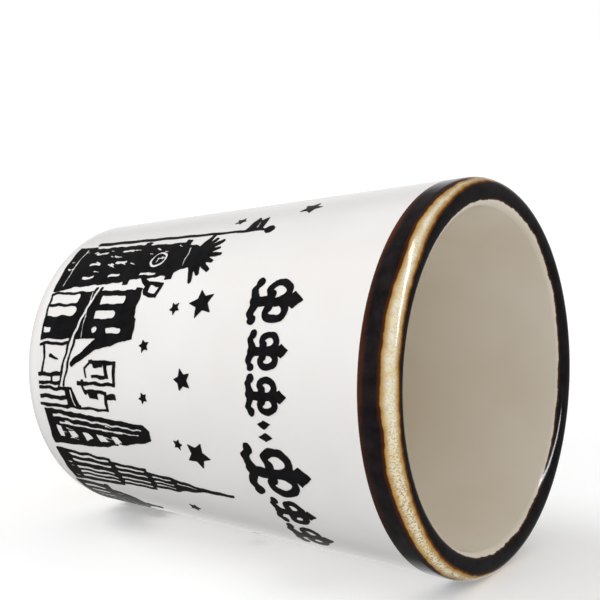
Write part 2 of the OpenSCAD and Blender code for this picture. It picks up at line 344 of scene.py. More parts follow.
lip_foot = lip_c + LIP_OUTER * np.array([math.cos(DRAFT), -math.sin(DRAFT)])
lip_back = lip_c + (LIP_OUTER - COAT) * np.array([math.cos(DRAFT), -math.sin(DRAFT)])
band_foot = (wall_r(BAND_Z), BAND_Z)
band_back = (wall_r(BAND_Z) - COAT, BAND_Z)
round_length = LIP_OUTER * (math.pi / 2 + DRAFT)
band_length = round_length + math.dist(lip_foot, band_foot)
inner_length = LIP_INNER * (inside_turn - math.pi / 2)
rim_steps = (10, 40, 30)
rim_face = [
    line(band_foot, lip_foot, rim_steps[0]),
    arc(lip_c, LIP_OUTER, -DRAFT, math.pi / 2, rim_steps[1])[1:],
    arc(inner_lip_c, LIP_INNER, math.pi / 2, inside_turn, rim_steps[2]),
]
rim_back = [
    line(band_back, lip_back, rim_steps[0]),
    arc(lip_c, LIP_OUTER - COAT, -DRAFT, math.pi / 2, rim_steps[1])[1:],
    arc(inner_lip_c, LIP_INNER - COAT, math.pi / 2, inside_turn, rim_steps[2]),
]
# how far along the coat each point lies from the crown, outwards positive
rim_run = [
    np.linspace(band_length, round_length, rim_steps[0]),
    np.linspace(round_length, 0, rim_steps[1])[1:],
    np.linspace(0, -inner_length, rim_steps[2]),
]
rim_section = np.concatenate(rim_face + [part[::-1] for part in reversed(rim_back)])
rim_runs = np.concatenate(rim_run + [part[::-1] for part in reversed(rim_run)])

brown_glaze, tree, shader, place = finish_named("iron_brown_breaking_glaze")


def number(operation, a, b=0.0, c=0.0):
    return put(tree, "ShaderNodeMath", {0: a, 1: b, 2: c}, operation=operation).outputs[0]


def rises(value, edge, soft):
    """0 below the edge and 1 above it, over a soft width."""
    low = number("MULTIPLY_ADD", soft, -0.5, edge)
    high = number("MULTIPLY_ADD", soft, 0.5, edge)
    reach = {"Value": value, "From Min": low, "From Max": high}
    return put(tree, "ShaderNodeMapRange", reach, interpolation_type="SMOOTHSTEP").outputs[0]


def grain(size, detail, stretch=(1, 1, 1), roughness=0.6):
    """Noise about zero whose features are this size in metres."""
    scaled = put(tree, "ShaderNodeMapping", {"Vector": place, "Scale": stretch}).outputs[0]
    settings = {"Vector": scaled, "Scale": per(size), "Detail": detail, "Roughness": roughness}
    return number("SUBTRACT", put(tree, "ShaderNodeTexNoise", settings).outputs["Fac"], 0.5)


def mixed(factor, a, b):
    node = put(tree, "ShaderNodeMix", data_type="RGBA")
    for socket, value in zip((node.inputs["Factor"], node.inputs[6], node.inputs[7]), (factor, a, b)):
        if isinstance(value, str):
            socket.default_value = linear(value)
        else:
            tree.links.new(value, socket)
    return node.outputs[2]


attribute = put(tree, "ShaderNodeAttribute", attribute_name="run").outputs["Fac"]
run = number("MULTIPLY", attribute, 1 / MM)
axes = put(tree, "ShaderNodeSeparateXYZ", {0: place}).outputs
square = number("MULTIPLY_ADD", axes["Y"], axes["Y"], number("MULTIPLY", axes["X"], axes["X"]))
radius = number("SQRT", square)
# round the rim: front is 1 at the printed front and -1 behind, side is 1 at +X
front = number("MULTIPLY", number("DIVIDE", axes["Y"], radius), -1.0)
side = number("DIVIDE", axes["X"], radius)
double = number("MULTIPLY_ADD", number("MULTIPLY", front, front), 2.0, -1.0)

wander = grain(5 * MM, 2)
teeth = grain(1.1 * MM, 3, roughness=0.7)
# the pale break's upper edge, its lower edge and the last of the brown, in millimetres
break_out = number("MULTIPLY_ADD", wander, 0.9, number("MULTIPLY_ADD", teeth, 0.3, 2.5))
lean_in = number("MULTIPLY_ADD", side, -0.22, number("MULTIPLY_ADD", double, -0.25, 1.28))
break_in = number("MULTIPLY_ADD", front, -0.575, lean_in)
break_in = number("MULTIPLY_ADD", teeth, 0.4, number("MULTIPLY_ADD", wander, 0.5, break_in))
last_in = number("MULTIPLY_ADD", front, 0.5, number("MULTIPLY_ADD", double, -0.15, -1.0))
last_in = number("MULTIPLY_ADD", side, -0.13, last_in)
last_in = number("MULTIPLY_ADD", teeth, 0.4, number("MULTIPLY_ADD", wander, 0.5, last_in))

# near black, mottled with a colder grey-brown
dark = ramp(tree, number("ADD", grain(1.6 * MM, 3), 0.5), [(0.35, "#0d090b"), (0.65, "#211a1c")])
pale = ramp(tree, number("ADD", grain(1.4 * MM, 3), 0.5), [(0.3, "#f2e0ad"), (0.55, "#fff8e0")])
# specks and streaks where the brown pulled apart, drawn out towards the crown
streak = rises(grain(0.24 * MM, 3, (1, 1, 0.5), 0.8), 0.03, 0.1)
streaky = number("MULTIPLY", streak, number("MULTIPLY_ADD", rises(side, 0.35, 0.7), 0.62, 0.28))
pale = mixed(streaky, pale, "#b0852f")
inner_edge = number("SUBTRACT", 1.0, rises(number("SUBTRACT", run, break_in), 0.35, 0.7))
outer_edge = rises(number("SUBTRACT", run, break_out), -0.4, 0.9)
pale = mixed(number("MAXIMUM", inner_edge, outer_edge), pale, "#b98c3c")
red_out = rises(number("MULTIPLY_ADD", wander, 1.2, run), band_length / MM - 0.3, 1.4)
red_out = number("MULTIPLY", red_out, number("MULTIPLY_ADD", side, -0.5, 0.65))
outside = mixed(red_out, dark, "#64300f")
near_break = number("SUBTRACT", 1.0, rises(number("SUBTRACT", run, break_out), 0.3, 0.6))
outside = mixed(near_break, outside, "#50250f")
near_inside = rises(number("SUBTRACT", run, break_in), -0.2, 0.35)
inside = mixed(near_inside, dark, "#7d4209")
brown = mixed(rises(number("SUBTRACT", run, break_in), 0.0, 0.16), inside, pale)
brown = mixed(rises(number("SUBTRACT", run, break_out), 0.0, 0.16), brown, outside)
near_last = number("SUBTRACT", 1.0, rises(number("SUBTRACT", run, last_in), 0.18, 0.3))
brown = mixed(near_last, brown, "#54300f")
# below the brown, the inside white is the liner's cream, partly its own tone and partly painted shade of the
# inside
glazes = mixed(rises(number("SUBTRACT", run, last_in), 0.0, 0.1), clouded(tree, place, SHADED_CREAM), brown)
tree.links.new(glazes, shader.inputs["Base Color"])
glassy(tree, shader, place, 2.5 * MM, 0.03 * MM)
turned_coat("rim_glaze", rim_section, brown_glaze, rim_runs)


# ---- Row of ornaments ----------------------------------------------------
# The print is black enamel, drawn by hand, screened onto a transfer sheet and fired
# onto the white glaze. Its lines are a little uneven, and stand 0.06 mm proud. Each
# drawing below is in millimetres, across and up from the foot of the sheet.

INK = 0.06 * MM
PRINT_Z = 4.365 * MM
# the grid that a drawing is cut out on, in the drawing's millimetres
CELL = 0.1


def sheet_tree():
    """Lays a flat drawing on the wall, each point at its own azimuth, as thick enamel."""
    tree = bpy.data.node_groups.new("fired_on_the_wall", "GeometryNodeTree")
    sockets = tree.interface
    sockets.new_socket("Drawing", in_out="INPUT", socket_type="NodeSocketGeometry")
    for name in ("Sheet Foot", "Foot Radius", "Slope", "Thickness"):
        sockets.new_socket(name, in_out="INPUT", socket_type="NodeSocketFloat")
    sockets.new_socket("Enamel", in_out="INPUT", socket_type="NodeSocketMaterial")
    sockets.new_socket("Print", in_out="OUTPUT", socket_type="NodeSocketGeometry")
    given = put(tree, "NodeGroupInput").outputs

    def reckon(operation, a, b=0.0, c=0.0):
        return put(tree, "ShaderNodeMath", {0: a, 1: b, 2: c}, operation=operation).outputs[0]

    under = put(tree, "GeometryNodeFlipFaces", {"Mesh": given["Drawing"]}).outputs[0]
    up = put(tree, "ShaderNodeCombineXYZ", {"Z": 1}).outputs[0]
    lift = {"Mesh": given["Drawing"], "Offset": up, "Offset Scale": given["Thickness"], "Individual": False}
    top = put(tree, "GeometryNodeExtrudeMesh", lift).outputs["Mesh"]
    both = put(tree, "GeometryNodeJoinGeometry", {0: top})
    tree.links.new(under, both.inputs[0])
    at = put(tree, "ShaderNodeSeparateXYZ", {0: put(tree, "GeometryNodeInputPosition").outputs[0]}).outputs
    azimuth = put(tree, "GeometryNodeInputNamedAttribute", {"Name": "azimuth"}, data_type="FLOAT")
    height = reckon("ADD", at["Y"], given["Sheet Foot"])
    wall = reckon("MULTIPLY_ADD", height, given["Slope"], given["Foot Radius"])
    across = reckon("ARCSINE", reckon("DIVIDE", at["X"], wall))
    angle = reckon("ADD", azimuth.outputs["Attribute"], across)
    away = reckon("MULTIPLY", reckon("ADD", wall, at["Z"]), -1.0)
    flat = put(tree, "ShaderNodeCombineXYZ", {"Y": away, "Z": height}).outputs[0]
    spin = {"Vector": flat, "Axis": (0, 0, 1), "Angle": angle}
    turned = put(tree, "ShaderNodeVectorRotate", spin, rotation_type="AXIS_ANGLE").outputs[0]
    laid = put(tree, "GeometryNodeSetPosition", {"Geometry": both.outputs[0], "Position": turned}).outputs[0]
    closed = put(tree, "GeometryNodeMergeByDistance", {"Geometry": laid, "Distance": 0.001 * MM})
    real = put(tree, "GeometryNodeRealizeInstances", {"Geometry": closed.outputs[0]}).outputs[0]
    inked = put(tree, "GeometryNodeSetMaterial", {"Geometry": real, "Material": given["Enamel"]})
    put(tree, "NodeGroupOutput", {"Print": inked.outputs[0]})
    return tree


# Black overglaze enamel: dense, satin, with a slightly starved mottle
black_print, tree, shader, place = finish_named("black_overglaze_enamel")
mottle = put(tree, "ShaderNodeTexNoise", {"Vector": place, "Scale": per(1.2 * MM), "Detail": 3})
ink_tones = [(0.35, "#08070a"), (0.7, "#151417")]
tree.links.new(ramp(tree, mottle.outputs["Fac"], ink_tones), shader.inputs["Base Color"])
glassy(tree, shader, place, 2 * MM, 0.01 * MM)
shader.inputs["Roughness"].default_value = 0.34
shader.inputs["Specular IOR Level"].default_value = 0.35


# Shapes that a drawing is made of. Each gives the distance to its edge, in millimetres
# and negative inside, at points x across and z up.

def facet(x, z, *corners):
    """A straight-sided patch."""
    a = np.array(corners, float)
    b = np.roll(a, -1, 0)
    nearest = np.full(x.shape, 99.0)
    crossings = np.zeros(x.shape, int)
    for (ax, az), (bx, bz) in zip(a, b):
        ex, ez = bx - ax, bz - az
        t = np.clip(((x - ax) * ex + (z - az) * ez) / (ex * ex + ez * ez), 0, 1)
        nearest = np.minimum(nearest, np.hypot(x - ax - t * ex, z - az - t * ez))
        if ez:
            crossings += ((az > z) != (bz > z)) & (x < ax + (z - az) / ez * ex)
    return np.where(crossings % 2 == 1, -nearest, nearest)


def brush(x, z, widths, *points):
    """A brush line through some points, from its first width to its last."""
    start, end = widths
    best = np.full(x.shape, 99.0)
    legs = len(points) - 1
    for i, ((ax, az), (bx, bz)) in enumerate(zip(points, points[1:])):
        ex, ez = bx - ax, bz - az
        t = np.clip(((x - ax) * ex + (z - az) * ez) / (ex * ex + ez * ez), 0, 1)
        half = (start + (end - start) * (i + t) / legs) / 2
        best = np.minimum(best, np.hypot(x - ax - t * ex, z - az - t * ez) - half)
    return best


def block(x, z, left, right, low, high):
    dx = np.maximum(left - x, x - right)
    dz = np.maximum(low - z, z - high)
    return np.where((dx > 0) & (dz > 0), np.hypot(dx, dz), np.maximum(dx, dz))


def arched(x, z, middle, width, low, high):
    """An opening with a round head."""
    spring = high - width / 2
    head = np.hypot(x - middle, z - spring) - width / 2
    return np.minimum(block(x, z, middle - width / 2, middle + width / 2, low, spring), head)


def spot(x, z, cx, cz, r):
    return np.hypot(x - cx, z - cz) - r


def volute(cx, cz, wide, tall, turns, ends, widths, steps=22):
    """A brush line that leaves a stem on the left, goes over and winds in."""
    t = np.linspace(0, 1, steps)
    angle = math.pi - t * turns * 2 * math.pi
    reach = ends[0] + (ends[1] - ends[0]) * t
    return (brush, widths, *zip(cx + wide * reach * np.cos(angle), cz + tall * reach * np.sin(angle)))


fired = sheet_tree()
hand = np.random.default_rng(11)


def drawn(steps, box, wobble):
    """The distance field of a drawing, its ink and bare shapes taken in order."""
    left, right, low, high = box
    xs = np.arange(left, right + CELL, CELL)
    zs = np.arange(low, high + CELL, CELL)
    x, z = np.meshgrid(xs, zs, indexing="ij")
    wave = hand.uniform(0, 2 * math.pi, (6, 2))
    length = hand.uniform(1.6, 5, 6)
    dx = sum(np.sin(z * 6.3 / l + a) * np.cos(x * 4 / l + b) for l, (a, b) in zip(length[:3], wave))
    dz = sum(np.sin(x * 6.3 / l + a) * np.cos(z * 4 / l + b) for l, (a, b) in zip(length[3:], wave[3:]))
    fine = np.sin(x * 9 + wave[0, 0]) * np.sin(z * 8 + wave[1, 0])
    x2 = x + wobble * (dx + 0.3 * fine)
    z2 = z + wobble * (dz + 0.3 * fine)
    field = np.full(x.shape, 9.0)
    for tone, shape, *sizes in steps:
        distance = shape(x2, z2, *sizes)
        field = np.minimum(field, distance) if tone == "ink" else np.maximum(field, -distance)
    field[[0, -1]] = np.maximum(field[[0, -1]], 0.05)
    field[:, [0, -1]] = np.maximum(field[:, [0, -1]], 0.05)
    return xs, zs, field


def cut_out(xs, zs, field):
    """The inked part of a field as points and faces, its edges cut between cells."""
    ink = field < 0
    ids, points, faces = {}, [], []

    def corner(i, j):
        if (i, j) not in ids:
            ids[i, j] = len(points)
            points.append((xs[i], zs[j]))
        return ids[i, j]

    def crossing(a, b):
        a, b = min(a, b), max(a, b)
        if (a, b) not in ids:
            t = np.clip(field[a] / (field[a] - field[b]), 0.08, 0.92)
            ids[a, b] = len(points)
            points.append((xs[a[0]] + t * (xs[b[0]] - xs[a[0]]), zs[a[1]] + t * (zs[b[1]] - zs[a[1]])))
        return ids[a, b]

    touched = ink[:-1, :-1] | ink[1:, :-1] | ink[1:, 1:] | ink[:-1, 1:]
    for i, j in np.argwhere(touched).tolist():
        ring = [(i, j), (i + 1, j), (i + 1, j + 1), (i, j + 1)]
        face = []
        for a, b in zip(ring, ring[1:] + ring[:1]):
            if ink[a]:
                face.append(corner(*a))
            if ink[a] != ink[b]:
                face.append(crossing(a, b))
        if len(face) > 2:
            faces.append(face)
    return points, faces


def enamel(node, drawings, wobble=0.06):
    """Fires drawings onto the wall as one piece: (azimuth, box, steps) of each."""
    points, faces, azimuths = [], [], []
    for azimuth, box, steps in drawings:
        new_points, new_faces = cut_out(*drawn(steps, box, wobble))
        faces += [[i + len(points) for i in face] for face in new_faces]
        points += new_points
        azimuths += [math.radians(azimuth)] * len(new_points)
    mesh = bpy.data.meshes.new(node + "_drawing")
    mesh.from_pydata([(x * MM, z * MM, 0) for x, z in points], [], faces)
    mesh.attributes.new("azimuth", "FLOAT", "POINT").data.foreach_set("value", azimuths)
    sizes = {"Sheet_Foot": PRINT_Z, "Foot_Radius": FOOT_R, "Slope": SLOPE, "Thickness": INK}
    piece = made_by(fired, node + "_print", mesh, Enamel=black_print, **sizes)
    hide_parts(node)
    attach(piece, BODY)
    return piece


ROW_Z = 38.4


def fern(w, h):
    """A stem with a bud, a pair of open curls and a curved foot, w across and h tall."""
    z, pen = ROW_Z, 0.42 + 0.08 * h
    low, high = z - 0.42 * h, z + 0.34 * h
    loop = (w - pen) / 4
    steps = [
        ("ink", brush, (1.3 * pen, pen), (0, low), (0.02 * h, z - 0.1 * h), (0, high)),
        ("ink", facet, (-0.15 * h, high), (0, z + 0.16 * h), (0.15 * h, high), (0, z + 0.52 * h)),
    ]
    for s in (-1, 1):
        curl = volute(loop, z, loop, 0.24 * h, 0.86, (1, 0.62), (pen, 0.85 * pen))
        curled = [(s * x, y) for x, y in curl[2:]]
        foot = [(0, low + 0.04 * h), (s * 0.24 * w, low - 0.05 * h), (s * 0.38 * w, low + 0.02 * h)]
        steps += [
            ("ink", brush, curl[1], *curled),
            ("ink", spot, *curled[-1], 0.62 * pen),
            ("ink", brush, (1.25 * pen, 0.7 * pen), *foot),
            ("ink", spot, *foot[-1], 0.6 * pen),
        ]
    return steps


ferns = [(-20, 6.2, 7.6), (-5, 5, 5.8), (8, 5, 5.8), (32, 7.5, 9.4), (47.5, 4.6, 5.8), (60.5, 5.2, 5.8)]
row = [(a, (-0.53 * w, 0.53 * w, ROW_Z - 0.56 * h, ROW_Z + 0.56 * h), fern(w, h)) for a, w, h in ferns]
diamond = [("ink", facet, (-0.55, ROW_Z - 0.6), (0, ROW_Z - 1.6), (0.55, ROW_Z - 0.6), (0, ROW_Z + 0.4))]
row += [(a, (-0.6, 0.6, ROW_Z - 2, ROW_Z + 1), diamond) for a in (16.5, 20.4)]
enamel("ornament_row", row)


# ---- Stars ---------------------------------------------------------------
# Scattered five-pointed stars, drawn freehand over the roofs, in two sizes.

def star(z, r, tilt):
    """A star's outline, its points a little uneven."""
    points = []
    for i in range(10):
        reach = r * (hand.uniform(0.93, 1.07) if i % 2 == 0 else hand.uniform(0.46, 0.53))
        turn = math.radians(i * 36 + tilt)
        points.append((reach * math.sin(turn), z + reach * math.cos(turn)))
    return [("ink", facet, *points)]


large = [
    (-20, 27, 2, 36), (30, 26.3, 2, 10), (5, 25.4, 1.5, 36), (-61, 35.8, 1.6, 0), (96, 28, 2, 20),
    (140, 32, 1.5, 0), (187, 34, 2, 30), (228, 30, 1.5, 12), (262, 33, 2, 36),
]
small = [
    (-18.5, 22.8, 0.9, 20), (27, 23.4, 0.8, 0), (-5.5, 18.8, 0.9, 36), (12, 18.8, 0.8, 30),
    (-57, 26, 0.9, 0), (58, 20.5, 0.9, 10), (83, 24.5, 0.9, 0), (108, 25, 0.8, 20),
    (152, 27, 0.9, 36), (200, 28, 0.8, 0), (215, 26, 0.9, 15), (250, 27, 0.8, 30),
]
for node, stars in (("large_stars", large), ("small_stars", small)):
    sheets = [(a, (-1.2 * r, 1.2 * r, z - 1.2 * r, z + 1.2 * r), star(z, r, t)) for a, z, r, t in stars]
    enamel(node, sheets, 0.02)


# ---- Belfry --------------------------------------------------------------
# The tallest mass of the skyline, brushed in heavy: a plinth, two storeys with
# narrow arched windows, a clock, a lantern on a bracket and a fan of finials.

FAN = 9


def scratches(count, left, right, low, high, length, width, lean=0.4):
    """Short bare strokes at random, where the brush ran dry."""
    strokes = []
    for _ in range(count):
        x, z = hand.uniform(left, right), hand.uniform(low, high)
        reach = length * hand.uniform(0.5, 1.2)
        tip = (x + lean * reach * hand.uniform(0.3, 1), z + reach)
        strokes.append(("bare", brush, (width, width * 0.4), (x, z), tip))
    return strokes


belfry = [
    ("ink", facet, (-4, 0), (-3.7, 3.4), (3.6, 3.2), (4, 0)),
    ("ink", facet, (-3.4, 3), (-3.2, 12.8), (3.3, 12.8), (3.5, 3)),
    ("ink", block, -3.7, 3.7, 12.3, 13.3),
    ("ink", facet, (-3, 13), (-2.8, 19.8), (2.9, 19.8), (3, 13)),
    ("ink", block, -3.4, 3.4, 19.5, 20.5),
    ("ink", facet, (-2.4, 20.3), (-1.7, 22.9), (1.7, 22.9), (2.4, 20.3)),
    ("ink", spot, 0, 22.7, 1.5),
]
for i in range(FAN):
    turn = math.radians(-72 + i * 144 / (FAN - 1))
    reach = 4.2 - 0.6 * (i % 2)
    tip = (reach * math.sin(turn), 22.5 + reach * math.cos(turn))
    belfry.append(("ink", brush, (1.4, 0.55), (0, 22.5), tip))
belfry += [("bare", arched, x, 0.42, z, z + 2.1) for x in (-2.2, -0.1, 2.1) for z in (4.3, 9)]
belfry += [("bare", arched, 2.3, 0.4, 14.6, 17.4)]
belfry += [
    ("bare", spot, 0, 16.6, 1.3),
    ("ink", spot, 0, 16.6, 0.95),
    ("bare", brush, (0.22, 0.22), (-0.1, 16.4), (0, 17.2)),
    ("bare", brush, (0.22, 0.22), (-0.1, 16.5), (0.5, 16.4)),
    ("bare", brush, (0.3, 0.2), (-3.3, 1.9), (3, 1.5)),
    ("bare", brush, (0.25, 0.15), (-1.6, 21.1), (1.5, 21.4)),
    # the lantern, on a bracket from the upper storey
    ("ink", brush, (0.7, 0.9), (2.8, 15.4), (4.3, 17.2)),
    ("ink", facet, (3.5, 17), (3.9, 19.6), (5.9, 19), (5.6, 16.9), (4.7, 16.4)),
    ("bare", facet, (4.1, 17.5), (4.4, 18.9), (5.3, 18.6), (5.1, 17.4)),
]
belfry += scratches(15, -3, 2.4, 3.4, 12, 1.2, 0.24)
belfry += scratches(6, -2.4, 2, 14, 19, 0.9, 0.24)
belfry += scratches(5, -3.4, 2.8, 0.4, 2.6, 0.9, 0.2)
enamel("belfry", [(-39, (-4.3, 6.2, -0.1, 27), belfry)])


# ---- Flag mast -----------------------------------------------------------
# A thin pole behind the belfry, with a ball on top and a swallow-tailed pennant.

flag_mast = [
    ("ink", brush, (0.7, 0.4), (-0.6, 3.3), (-0.2, 16), (0.3, 32)),
    ("ink", spot, 0.3, 32.2, 0.72),
    ("ink", facet, (0.2, 31), (-3, 30.4), (-2.2, 29.6), (-3, 28.8), (0.1, 28.2)),
    ("bare", brush, (0.25, 0.15), (-0.4, 29.9), (-1.7, 29.6)),
]
enamel("flag_mast", [(-50.2, (-3.3, 1.3, 3, 33.2), flag_mast)])


# ---- River bridge --------------------------------------------------------
# A stone bridge tower with two tiers of arches. A roadway crosses in front of it and
# runs down to the right on piers, hung from a heavy cable.

bridge = [
    ("ink", block, -3.2, 3.2, 0, 15.7),
    ("ink", facet, (-3.6, 15.2), (-3.4, 16.4), (0.6, 16.2), (0.9, 16.7), (3.3, 16.6), (3.6, 15.3)),
    ("ink", brush, (2, 0.6), (2.7, 14.6), (4, 10.2), (6.3, 6.2)),
]
bridge += [("bare", arched, x, 1.3, 0.3, 5.6) for x in (-2.2, -0.5)]
bridge += [("bare", arched, -1.9, 1.15, 9.6, 14), ("bare", arched, 0.1, 1.1, 9.2, 12.8)]
bridge += [
    ("bare", arched, 2.2, 0.7, 11.8, 14.4),
    ("bare", spot, 2, 9.6, 0.42),
    ("bare", block, 1.6, 2.3, 0.3, 1.6),
]
bridge += [("ink", block, x - w / 2, x + w / 2, 0, 6.2 - (x - 4) * 0.38)
           for x, w in ((3.75, 0.4), (7.5, 0.5), (8.5, 0.4))]
bridge += [
    ("ink", brush, (0.35, 0.3), (3.7, 0.8), (5.4, 1.1), (7.4, 0.7)),
    ("ink", brush, (0.5, 0.25), (5.3, 2.2), (5.7, 3.5)),
    ("ink", brush, (0.3, 0.2), (7.6, 2.6), (8.5, 2.5)),
]
road = ((-3.7, 8.6), (2, 6.4), (8.9, 4.3))
above = [(x, z + 0.42) for x, z in road]
below = [(x, z - 0.42) for x, z in road]
bridge += [
    ("bare", brush, (1.3, 1.2), *road),
    ("ink", brush, (0.4, 0.3), *above),
    ("ink", brush, (0.4, 0.3), *below),
    ("bare", brush, (0.2, 0.15), (-3, 7.6), (3, 7.5)),
]
bridge += scratches(4, -0.5, 0.3, 0.5, 4.5, 1, 0.18, 0.1)
enamel("river_bridge", [(-17, (-3.8, 9.2, -0.1, 16.9), bridge)])


# ---- Corner houses -------------------------------------------------------
# Two outlined blocks with open fronts, the right one with a chimney, over the
# dark arches of a quay.

left_house = [
    ("ink", block, -1.6, 1.6, 8, 14.1),
    ("bare", block, -1.1, 1.15, 8.4, 13.6),
    ("ink", facet, (-1.1, 12.6), (0.7, 12.9), (0.7, 10), (0.25, 9.8), (0.25, 12.2), (-1.1, 12)),
    ("ink", facet, (-1.2, 12), (-0.6, 11.8), (-0.7, 10.2), (-1.2, 10)),
    ("bare", facet, (-1.7, 9.2), (0.9, 9.4), (0.9, 7.6), (-1.7, 7.8)),
    ("ink", brush, (0.35, 0.25), (-1.5, 9.8), (-0.5, 8.6), (0.6, 8.9)),
    ("ink", brush, (0.5, 0.6), (1.35, 9), (1.5, 7.4)),
    ("ink", brush, (0.3, 0.5), (1.5, 8), (2.6, 8.7)),
]
right_house = [
    ("ink", block, -1.35, 1.35, 7.2, 12.5),
    ("bare", block, -0.9, 1, 7.6, 12.05),
    ("ink", facet, (-1, 10.8), (-0.1, 11), (-0.2, 9.2), (-1, 8.9)),
    ("ink", block, -0.95, -0.2, 12.3, 14),
    ("bare", facet, (-1.5, 8.4), (0.7, 8.6), (0.7, 7), (-1.5, 7)),
    ("ink", facet, (-1.4, 6.2), (0.2, 7), (1.35, 7.6), (1.35, 5.2), (-1.4, 4.8)),
    ("ink", block, -1.3, -0.85, 0, 5),
    ("ink", block, -0.2, 0.35, 0, 5.4),
    ("ink", block, 0.95, 1.4, 0, 5.4),
    ("bare", brush, (0.3, 0.2), (-0.9, 5.9), (1, 6.4)),
]
houses = [(4.5, (-1.9, 2.9, 7.2, 14.4), left_house), (14.5, (-1.6, 1.6, -0.1, 14.2), right_house)]
enamel("corner_houses", houses)


# ---- Tapered tower -------------------------------------------------------
# A narrow dark tower, hatched with a dry brush, with slanting windows on its lit side.

tapered = [("ink", facet, (-2.4, 0.6), (-1.7, 18), (-1, 19), (0.1, 19), (0.7, 18), (2.4, 9), (2.7, 0.6))]
for z in (4, 6.6, 9.2, 11.8):
    tapered.append(("bare", facet, (0.5, z), (1.6, z + 0.5), (1.2, z + 1.9), (0.5, z + 1.2)))
tapered += [
    ("bare", brush, (0.2, 0.35), (-0.9, 17.6), (-1.1, 12), (-1.5, 2)),
    ("bare", brush, (0.15, 0.3), (-0.2, 17), (-0.3, 10), (-0.5, 3)),
    ("bare", facet, (-0.2, 2), (1.6, 2.2), (1.5, 3.1), (-0.1, 3)),
]
tapered += scratches(12, -2, 1.8, 1.2, 15, 1.3, 0.2, 0.15)
enamel("tapered_tower", [(26.5, (-2.8, 3, 0.4, 19.3), tapered)])


# ---- Spire tower ---------------------------------------------------------
# A stepped tower of upright strokes under a long needle, with a dark foot.

spire = [
    ("ink", facet, (-2.9, 0.4), (-2.5, 10), (2.5, 10), (3, 0.4)),
    ("ink", facet, (-2, 9.8), (-1.9, 16), (1.9, 16), (2, 9.8)),
    ("ink", facet, (-1.4, 15.8), (-1.2, 20.1), (1.2, 20.1), (1.4, 15.8)),
    ("ink", facet, (-1.2, 20), (-0.35, 24.4), (-0.2, 29.5), (0.2, 29.5), (0.35, 24.4), (1.2, 20)),
]
spire += [("bare", brush, (0.5, 0.35), (x * 1.08, 2.8), (x, 9.3)) for x in (-1.9, -0.95, 0.2, 1, 1.8)]
spire += [("bare", brush, (0.4, 0.3), (x, 10.6), (x * 0.95, 15.4)) for x in (-1.35, -0.45, 0.6, 1.4)]
spire += [("bare", brush, (0.35, 0.2), (x, 16.6), (x * 0.9, 19.6)) for x in (-0.7, 0.1, 0.75)]
spire += [("bare", brush, (0.3, 0.15), (-0.3, 20.6), (-0.05, 23.4))]
spire += scratches(6, -2.4, 2.2, 0.8, 2.6, 0.8, 0.2)
enamel("spire_tower", [(45.5, (-3.1, 3.1, 0.2, 29.7), spire)])


# ---- Domed hall ----------------------------------------------------------
# A low hall with tall windows between pilasters, a drum, a dome and a lantern.

hall = [
    ("ink", block, -4, 4, 0, 5.7),
    ("ink", block, -4.2, 4.2, 5.2, 5.9),
    ("ink", block, -2.8, 2.8, 5.6, 7.3),
    ("ink", spot, 0, 7.2, 2.6),
    ("ink", block, -0.3, 0.3, 9.6, 12.6),
    ("ink", spot, 0, 10.3, 0.55),
]
hall += [("bare", arched, i * 1.4, 0.7, 0.9, 4.6) for i in range(-2, 3)]
hall += [("bare", block, i * 0.9 - 0.2, i * 0.9 + 0.2, 5.9, 6.9) for i in range(-2, 3)]
hall += [("bare", brush, (0.2, 0.15), (i * 0.9, 7.7), (i * 0.5, 9.2)) for i in (-1, 0, 1)]
enamel("domed_hall", [(68, (-4.4, 4.4, -0.1, 12.8), hall)])


# ---- Gabled houses -------------------------------------------------------
# A terrace of three narrow houses with gables, doors and small windows.

def gabled(eaves):
    house = [
        ("ink", block, -1.4, 1.4, 0, eaves),
        ("ink", facet, (-1.6, eaves - 0.1), (1.6, eaves - 0.1), (0, eaves + 2.5)),
        ("bare", block, -0.4, 0.4, 0.1, 1.8),
        ("bare", spot, 0, eaves + 0.6, 0.35),
    ]
    house += [("bare", block, x - 0.3, x + 0.3, z, z + 1.2) for x in (-0.7, 0.7) for z in (2.8, 4.9)]
    return house


terrace = [(85 + i * 9, (-1.7, 1.7, -0.1, 11.2), gabled(6.5 + i % 2 * 2)) for i in range(3)]
enamel("gabled_houses", terrace)


# ---- Water tank ----------------------------------------------------------
# A wooden roof tank with hoops and a cone lid, on braced legs.

tank = [("ink", block, x - 0.2, x + 0.2, 0, 8.2) for x in (-1.6, 0, 1.6)]
tank += [
    ("ink", brush, (0.3, 0.3), (-1.6, 2.4), (1.6, 5.6)),
    ("ink", brush, (0.3, 0.3), (1.6, 2.4), (-1.6, 5.6)),
    ("ink", block, -2.1, 2.1, 8, 12),
    ("ink", facet, (-2.4, 12), (2.4, 12), (0, 14.4)),
    ("bare", block, -2.3, 2.3, 9.1, 9.3),
    ("bare", block, -2.3, 2.3, 10.7, 10.9),
    ("bare", brush, (0.25, 0.2), (0.9, 8.3), (0.9, 11.7)),
]
enamel("water_tank", [(119, (-2.6, 2.6, -0.1, 14.6), tank)])


# ---- Stepped block -------------------------------------------------------
# A tall block that steps in twice, with rows of windows.

stepped = [
    ("ink", block, -3.2, 3.2, 0, 11.1),
    ("ink", block, -2.3, 2.3, 11, 15.5),
    ("ink", block, -1.4, 1.4, 15.4, 18.8),
    ("ink", block, -0.15, 0.15, 18.6, 20.2),
]
rows = (1, 3.4, 5.8, 8.2)
stepped += [("bare", block, x - 0.35, x + 0.35, z, z + 1.6) for x in (-2.2, -0.75, 0.75, 2.2) for z in rows]
stepped += [("bare", block, x - 0.35, x + 0.35, 11.4, 14.4) for x in (-1.4, 0, 1.4)]
stepped += [("bare", block, x - 0.2, x + 0.2, 15.9, 18) for x in (-0.6, 0.6)]
enamel("stepped_block", [(137, (-3.4, 3.4, -0.1, 20.4), stepped)])


# ---- Lattice mast --------------------------------------------------------
# An iron mast of two leaning legs, rungs and crossed braces.

